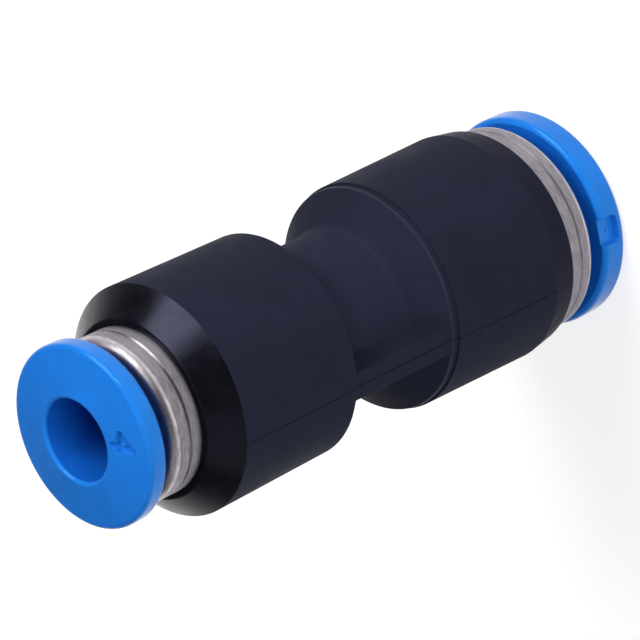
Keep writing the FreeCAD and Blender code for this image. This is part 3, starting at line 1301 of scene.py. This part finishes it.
def stroke_distance(x: np.ndarray, y: np.ndarray, start: tuple[float, float],
                    end: tuple[float, float]) -> np.ndarray:
    """Measures to a straight stroke.

    Args:
        x: Places along the numeral's height.
        y: Places across it.
        start: One end of the stroke.
        end: Its other end.

    Returns:
        The distances.
    """
    along = np.subtract(end, start)
    share = np.clip(((x - start[0]) * along[0] + (y - start[1]) * along[1]) / (along @ along), 0, 1)
    return np.hypot(x - start[0] - share * along[0], y - start[1] - share * along[1])


@dataclass(frozen=True)
class GateMark:
    """The small raised mark that the mould's gate leaves.

    Attributes:
        angle: Its azimuth.
        half_length: Half of its length round the axis.
        half_width: Half of its width.
        height: How far it stands out.
    """

    angle: float
    half_length: float
    half_width: float
    height: float


class RingFinish(IntEnum):
    """A release ring's finishes, numbered as its materials are."""

    OPEN = 0
    RECESSED = 1


@dataclass
class ReleaseRing:
    """A blue release ring: flange, stem, retaining bead and blunt nose, with its tube size engraved.

    Attributes:
        end: The end that it is in.
        body: The name of the moving body that it rides on.
        length: Length from nose to face.
        flange_thickness: Thickness of the flange at its rim.
        face_rise: How much the face rises from the rim to the bore.
        face_round: Rounding between face and rim.
        back_round: Rounding between rim and the flange's back.
        bore_round: Rounding of the bore's mouth.
        stem_wall: Thickness of the stem's wall.
        bead_height: How far the bead stands out of the stem.
        bead_length: Length of the bead.
        nose_chamfer: Size of the chamfer at the nose.
        bead_drop: Distance from the flange's back to the bead.
        numeral: The tube size that is engraved.
        numeral_angle: Azimuth of the numeral.
        mark: The gate's mark.
        notch_width: Width of the gate's notch, or 0 for none.
        notch_height: Height of the notch from the flange's back.
        notch_depth: Depth of the notch.
        notch_round: Rounding of its corners.
        numeral_height: Height of the numeral.
        numeral_stroke: Width of its strokes.
        numeral_depth: Its depth.
        numeral_gap: Distance from the bore's rounding to the numeral.
        numeral_lean: Turn of the numeral about its middle.
        numeral_reach: Share of the numeral's height over which the columns lie closer, to either side.
        mark_edge: Width over which the numeral's and the notch's walls fall off.
        mark_inset: How far the mark of a ring without a notch lies within its rim, both ways.
        gate_margin: How far beside the notch or the mark the columns lie closer.
        marked_turn: Half of the arc within which a numeral or a notch lies, in radians.
        bore_clearance: Room between the tube and the bore.
        bore_flare: How much larger the bore's radius is at its mouth.
        flare_depth: Depth of the flare.
        root_round: Rounding between the stem and the flange's back.
        face_step: Distance between rows on the face.
        fine_step: Distance between rows on the rim and the flange's back.
        node: Name of the node that it replaces.
        nose: Height of the nose.
        face: Height of the face at the bore.
        rim_face: Height of the face at the rim.
        back: Height of the flange's back.
        flange_r: Radius of the flange.
        bore_r: Radius of the bore.
        mouth_r: Radius of the bore's mouth.
    """

    end: End
    body: str
    length: float
    flange_thickness: float
    face_rise: float
    face_round: float
    back_round: float
    bore_round: float
    stem_wall: float
    bead_height: float
    bead_length: float
    nose_chamfer: float
    bead_drop: float
    numeral: Numeral
    numeral_angle: float
    mark: GateMark
    notch_width: float = 0.0
    notch_height: float = 1.07 * MM
    notch_depth: float = 0.4 * MM
    notch_round: float = 0.26 * MM
    numeral_height: float = 1.2 * MM
    numeral_stroke: float = 0.34 * MM
    numeral_depth: float = 0.26 * MM
    numeral_gap: float = 0.18 * MM
    numeral_lean: float = 20.0
    numeral_reach: float = 0.65
    mark_edge: float = 0.03 * MM
    mark_inset: float = 0.1 * MM
    gate_margin: float = 0.2 * MM
    marked_turn: float = 0.5
    bore_clearance: float = 0.1 * MM
    bore_flare: float = 0.15 * MM
    flare_depth: float = 1.2 * MM
    root_round: float = 0.15 * MM
    face_step: float = 0.028 * MM
    fine_step: float = 0.045 * MM
    node: str = field(init=False)
    nose: float = field(init=False)
    face: float = field(init=False)
    rim_face: float = field(init=False)
    back: float = field(init=False)
    flange_r: float = field(init=False)
    bore_r: float = field(init=False)
    mouth_r: float = field(init=False)

    def __post_init__(self) -> None:
        """Reads the ring's own places from the frame."""
        self.node = self.end.node("release_ring")
        self.nose = self.end.reach(self.node)[0]
        self.face = self.end.beyond(self.nose, self.length)
        self.rim_face = self.end.beyond(self.face, -self.face_rise)
        self.back = self.end.beyond(self.rim_face, -self.flange_thickness)
        self.flange_r = self.end.radius(self.node)
        self.bore_r = self.end.tube_d / 2 + self.bore_clearance
        self.mouth_r = self.bore_r + self.bore_flare

    def corners(self) -> list[Corner]:
        """Lays out the ring's outline.

        Returns:
            Its corners.
        """
        stem_r = self.bore_r + self.stem_wall
        bead_r = stem_r + self.bead_height
        bead_top = self.end.beyond(self.back, -self.bead_drop)
        bead_bottom = self.end.beyond(bead_top, -self.bead_length)
        return [
            Corner(self.mouth_r, self.face, self.bore_round, self.face_step),
            Corner(self.flange_r, self.rim_face, self.face_round, self.fine_step),
            # The flange's back and the bore take the darker blue, which is painted shade
            Corner(self.flange_r, self.back, self.back_round, self.fine_step, finish=RingFinish.RECESSED),
            Corner(stem_r, self.back, self.root_round),
            Corner(stem_r, bead_top),
            Corner(bead_r, bead_top),
            Corner(bead_r, bead_bottom),
            Corner(stem_r, self.end.beyond(bead_bottom, -self.bead_height)),
            Corner(stem_r, self.end.beyond(self.nose, self.nose_chamfer)),
            Corner(stem_r - self.nose_chamfer, self.nose),
            Corner(self.bore_r, self.nose, finish=RingFinish.RECESSED),
            Corner(self.bore_r, self.end.beyond(self.face, -self.flare_depth), finish=RingFinish.RECESSED),
        ]

    def columns(self) -> np.ndarray:
        """Spreads the columns, closer at the numeral and the gate.

        Returns:
            The columns' azimuths.
        """
        middle = self.numeral_radius()
        numeral_half = math.degrees(self.numeral_reach * self.numeral_height / middle)
        numeral_step = math.degrees(self.face_step / middle)
        gate_width = max(self.notch_width / 2, self.mark.half_length) + self.gate_margin
        gate_half = math.degrees(gate_width / self.flange_r)
        gate_step = math.degrees(self.face_step / self.flange_r)
        return column_angles([FineSpan(self.numeral_angle, numeral_half, numeral_step),
                              FineSpan(self.mark.angle, gate_half, gate_step)])

    def numeral_radius(self) -> float:
        """The numeral's middle, a gap away from the edge of the ring's bore."""
        half = (self.numeral_height + self.numeral_stroke) / 2
        return self.mouth_r + self.bore_round + self.numeral_gap + half

    def face_height(self, radius: np.ndarray) -> np.ndarray:
        """The height of the ring's face at each radius."""
        share = (self.flange_r - radius) / (self.flange_r - self.mouth_r)
        return self.rim_face + (self.face - self.rim_face) * share

    def engrave(self, grid: TurnedGrid) -> None:
        """Presses the numeral into the ring's face, with its top towards the rim.

        Args:
            grid: The ring's grid, changed in place.
        """
        turn = np.radians(angle_from(grid.angles, self.numeral_angle))[None, :] * self.end.way.value
        x = grid.radius * np.cos(turn) - self.numeral_radius()
        y = grid.radius * np.sin(turn)
        lean = math.radians(self.numeral_lean)
        up = x * math.cos(lean) - y * math.sin(lean)
        side = x * math.sin(lean) + y * math.cos(lean)
        away = self.numeral.distance(up, side, self.numeral_height) - self.numeral_stroke / 2
        on_face = np.abs(grid.z - self.face_height(grid.radius)) < self.mark_edge
        near = on_face & (np.abs(turn) < self.marked_turn)
        depth = self.numeral_depth * smooth_step(self.mark_edge / 2, -self.mark_edge / 2, away) * near
        grid.z -= self.end.way.value * depth

    def cut_notch(self, grid: TurnedGrid) -> None:
        """Cuts the gate's notch into the back of the rim.

        Args:
            grid: The ring's grid, changed in place.
        """
        turn = np.radians(angle_from(grid.angles, self.mark.angle))[None, :]
        turn = np.clip(turn, -self.marked_turn, self.marked_turn)
        across = np.abs(self.flange_r * np.tan(turn))
        height = (grid.z - self.back) * self.end.way.value
        side = across - self.notch_width / 2 + self.notch_round
        top = height - self.notch_height + self.notch_round
        away = (np.hypot(np.maximum(side, 0), np.maximum(top, 0)) + np.minimum(np.maximum(side, top), 0)
                - self.notch_round)
        floor = (self.flange_r - self.notch_depth) / np.cos(turn)
        inside = smooth_step(self.mark_edge / 2, -self.mark_edge / 2, away) * (grid.radius > floor)
        grid.radius -= (grid.radius - floor) * inside

    def raise_mark(self, grid: TurnedGrid, radius: float, z: float) -> None:
        """Raises the gate's small mark.

        Args:
            grid: The ring's grid, changed in place.
            radius: Radius of the mark's middle.
            z: Its height.
        """
        turn = np.radians(angle_from(grid.angles, self.mark.angle))[None, :]
        along = radius * turn / self.mark.half_length
        across = np.hypot(grid.radius - radius, grid.z - z) / self.mark.half_width
        grid.radius += self.mark.height * np.sqrt(np.maximum(1 - along ** 2 - across ** 2, 0))

    def dress(self) -> bpy.types.Object:
        """Builds the ring in its finishes, in place of its node.

        Returns:
            The piece.
        """
        outline = trace(self.corners())
        grid = TurnedGrid(outline, self.columns())
        self.engrave(grid)
        if self.notch_width:
            self.cut_notch(grid)
            middle = self.end.beyond(self.back, self.notch_height / 2)
            self.raise_mark(grid, self.flange_r - self.notch_depth, middle)
        else:
            middle = self.end.beyond(self.rim_face, -self.mark_inset)
            self.raise_mark(grid, self.flange_r - self.mark_inset, middle)
        finishes = {RingFinish.OPEN: RING_BLUE, RingFinish.RECESSED: PAINTED_SHADE_BLUE}
        piece = make_piece(self.end.node("blue_ring"), grid.points(), outline.finishes,
                           [finishes[number].material() for number in RingFinish])
        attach(piece, self.body)
        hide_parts(self.node)
        return piece


@dataclass(frozen=True)
class InnerPieces:
    """The pieces inside the body that keep their own shape and get a finish.

    Attributes:
        finishes: Each piece's name and its finish.
    """

    finishes: tuple[tuple[str, MouldedPlastic | TurnedMetal], ...] = (
        ("grip_ring", SPRING_STRIP),
        ("support_ring", SUPPORT_WHITE),
        ("seal_ring", SEAL_BLACK),
    )

    def dress(self, ends: Sequence[End]) -> list[str]:
        """Gives the inner pieces of each end their finishes.

        Args:
            ends: The fitting's ends.

        Returns:
            The names of the pieces.
        """
        dressed = []
        for label, finish in self.finishes:
            material = finish.material()
            for end in ends:
                node = frame["nodes"][end.node(label)]
                node.data.materials.clear()
                node.data.materials.append(material)
                dressed.append(node.name)
        return dressed


@dataclass(frozen=True)
class PhotoCamera:
    """The camera at the photograph's viewing angle, turned about its own axis as the photograph is.

    Attributes:
        azimuth: Where it stands, in degrees about +Z from +X.
        elevation: How high it stands, in degrees.
        roll: Turn about its own axis, in degrees.
        distance: Distance from the point that it looks at.
        lens: Focal length in millimetres, for a sensor 36 mm wide.
        clip_start: Nearest distance that it sees.
        clip_end: Farthest distance that it sees.
        aim: The point that it looks at.
    """

    azimuth: float = 218.98
    elevation: float = 38.43
    roll: float = -115.95
    distance: float = 351.43 * MM
    lens: float = 386.55
    clip_start: float = 10.0 * MM
    clip_end: float = 20.0
    aim: tuple[float, float, float] = (0.067 * MM, -0.067 * MM, 16.812 * MM)

    def place(self) -> bpy.types.Object:
        """Makes the camera and looks through it.

        Returns:
            The camera.
        """
        data = bpy.data.cameras.new("photo_camera")
        data.lens = self.lens
        data.clip_start = self.clip_start
        data.clip_end = self.clip_end
        camera = add_object("photo_camera", data)
        away = direction(self.azimuth, self.elevation)
        level = (-away).to_track_quat("-Z", "Y").to_matrix()
        turned = level @ Matrix.Rotation(math.radians(self.roll), 3, "Z")
        place = Vector(self.aim) + away * self.distance
        camera.matrix_world = Matrix.Translation(place) @ turned.to_4x4()
        bpy.context.scene.camera = camera
        return camera


@dataclass(frozen=True)
class SoftBox:
    """A rectangular soft light that faces the fitting.

    Attributes:
        name: Its name.
        azimuth: Where it stands, in degrees about +Z from +X.
        elevation: How high it stands, in degrees.
        distance: Distance from the fitting.
        width: Width of its face.
        height: Height of its face.
        brightness: Brightness of its face, where white paper in full light is about 1.
        mirrored: Whether glossy surfaces mirror it.
    """

    name: str
    azimuth: float
    elevation: float
    distance: float
    width: float
    height: float
    brightness: float
    mirrored: bool = True

    def place(self, target: Vector) -> bpy.types.Object:
        """Sets the light up.

        Args:
            target: The point that it faces.

        Returns:
            The light.
        """
        away = direction(self.azimuth, self.elevation)
        data = bpy.data.lights.new(self.name, "AREA")
        data.shape = "RECTANGLE"
        data.size = self.width
        data.size_y = self.height
        data.energy = self.brightness * math.pi * self.width * self.height
        light = add_object(self.name, data)
        light.location = target + away * self.distance
        light.rotation_mode = "QUATERNION"
        light.rotation_quaternion = (-away).to_track_quat("-Z", "Y")
        light.visible_camera = False
        light.visible_glossy = self.mirrored
        return light


@dataclass(frozen=True)
class Studio:
    """The pale floor, the plain soft lights and the pale surroundings.

    Attributes:
        lights: The lights.
        floor_size: Length of the floor's sides.
        floor_tone: Its grey.
        floor_lift: Strength of its glow, which brings it to white.
        horizon: Brightness of the surroundings at the horizon.
        zenith: Their brightness overhead.
        horizon_top: Sine of the elevation up to which the horizon's brightness fades.
    """

    lights: tuple[SoftBox, ...] = (
        SoftBox("key_light", azimuth=291.0, elevation=43.0, distance=0.42,
                width=0.24, height=0.36, brightness=6.2),
        SoftBox("front_light", azimuth=205.0, elevation=18.0, distance=0.5,
                width=0.3, height=0.3, brightness=5.2, mirrored=False),
        SoftBox("rear_light", azimuth=141.0, elevation=38.0, distance=0.5,
                width=0.4, height=0.4, brightness=0.4),
        SoftBox("top_light", azimuth=293.0, elevation=88.0, distance=0.5,
                width=0.3, height=0.3, brightness=0.7),
    )
    floor_size: float = 6.0
    floor_tone: float = 0.5
    floor_lift: float = 0.7
    horizon: float = 0.6
    zenith: float = 0.08
    horizon_top: float = 0.25

    def floor(self) -> bpy.types.Object:
        """Makes the pale floor, which glows where it is seen directly, in a reflection or through glass.

        Returns:
            The floor.
        """
        half = self.floor_size / 2
        corners = [(-half, -half, 0), (half, -half, 0), (half, half, 0), (-half, half, 0)]
        mesh = bpy.data.meshes.new("pale_floor")
        mesh.from_pydata(corners, [], [(0, 1, 2, 3)])
        material = bpy.data.materials.new("pale_floor")
        graph = blank_graph(material)
        tone = (self.floor_tone, self.floor_tone, self.floor_tone, 1)
        matt = graph.add("ShaderNodeBsdfDiffuse", {"Color": tone})
        paths = graph.add("ShaderNodeLightPath").outputs
        seen = graph.math("MAXIMUM", paths["Is Camera Ray"], paths["Is Glossy Ray"])
        seen = graph.math("MAXIMUM", seen, paths["Is Transmission Ray"])
        glow = graph.add("ShaderNodeEmission", {"Strength": graph.math("MULTIPLY", seen, self.floor_lift)})
        both = graph.add("ShaderNodeAddShader", {0: matt.outputs[0], 1: glow.outputs[0]})
        graph.add("ShaderNodeOutputMaterial", {"Surface": both.outputs[0]})
        mesh.materials.append(material)
        floor = add_object("pale_floor", mesh)
        return floor

    def world(self) -> None:
        """Makes the surroundings: pale at the horizon and darker overhead."""
        world = bpy.data.worlds.new("studio")
        graph = blank_graph(world)
        up = graph.add("ShaderNodeSeparateXYZ", {0: graph.add("ShaderNodeTexCoord").outputs["Generated"]})
        strength = graph.grade(up.outputs[2], 0.0, self.horizon_top, self.horizon, self.zenith)
        sky = graph.add("ShaderNodeBackground", {"Color": (1, 1, 1, 1), "Strength": strength})
        graph.add("ShaderNodeOutputWorld", {"Surface": sky.outputs[0]})
        bpy.context.scene.world = world

    def build(self) -> None:
        """Sets up the floor, the surroundings and the lights."""
        self.floor()
        self.world()
        target = (CAD_BOX[0] + CAD_BOX[1]) / 2
        for light in self.lights:
            light.place(target)
        bpy.context.scene.view_settings.view_transform = "Standard"


def main() -> None:
    """Builds the studio and the fitting in order, and reports each piece."""
    logging.basicConfig(level=logging.INFO, format="%(message)s")
    PhotoCamera().place()
    Studio().build()
    small = End("small", Way.UP, 4.0 * MM)
    large = End("large", Way.DOWN, 6.0 * MM)
    small_socket = Socket(
        small, mouth_d=9.56 * MM, bevel_height=1.42 * MM, spigot_d=8.0 * MM, seal_d=6.8 * MM,
        mount="small_tube_socket")
    large_socket = Socket(
        large, mouth_d=11.94 * MM, bevel_height=1.6 * MM, spigot_d=10.2 * MM, seal_d=9.2 * MM,
        mount="large_tube_socket")
    parts = [
        Body(small_socket, large_socket),
        RetainingSleeve(
            small, collar_proud=2.0 * MM, collar_round=0.5 * MM, spigot_d=small_socket.spigot_d,
            lip_r=2.66 * MM, groove=0.75 * MM),
        RetainingSleeve(
            large, collar_proud=1.8 * MM, collar_round=0.35 * MM, spigot_d=large_socket.spigot_d,
            lip_r=3.71 * MM, groove=0.88 * MM, groove_depth=0.05 * MM),
        ReleaseRing(
            small, "small_ring", length=6.849 * MM, flange_thickness=1.15 * MM, face_rise=0.55 * MM,
            face_round=0.3 * MM, back_round=0.35 * MM, bore_round=0.2 * MM, stem_wall=0.5 * MM,
            bead_height=0.4 * MM, bead_length=0.6 * MM, nose_chamfer=0.35 * MM, bead_drop=1.8 * MM,
            numeral=Numeral.FOUR, numeral_angle=199.0,
            mark=GateMark(angle=237.0, half_length=0.5 * MM, half_width=0.1 * MM, height=0.06 * MM)),
        ReleaseRing(
            large, "large_ring", length=7.155 * MM, flange_thickness=1.58 * MM, face_rise=0.0,
            face_round=0.4 * MM, back_round=0.3 * MM, bore_round=0.15 * MM, stem_wall=0.55 * MM,
            bead_height=0.45 * MM, bead_length=0.7 * MM, nose_chamfer=0.4 * MM, bead_drop=1.82 * MM,
            numeral=Numeral.SIX, numeral_angle=16.0,
            mark=GateMark(angle=195.0, half_length=0.1 * MM, half_width=0.1 * MM, height=0.1 * MM),
            notch_width=1.5 * MM),
    ]
    for part in parts:
        piece = part.dress()
        LOG.info("%s: %d faces", piece.name, len(piece.data.polygons))
    for name in InnerPieces().dress((small, large)):
        LOG.info("%s: finished", name)


if __name__ == "__main__":
    main()
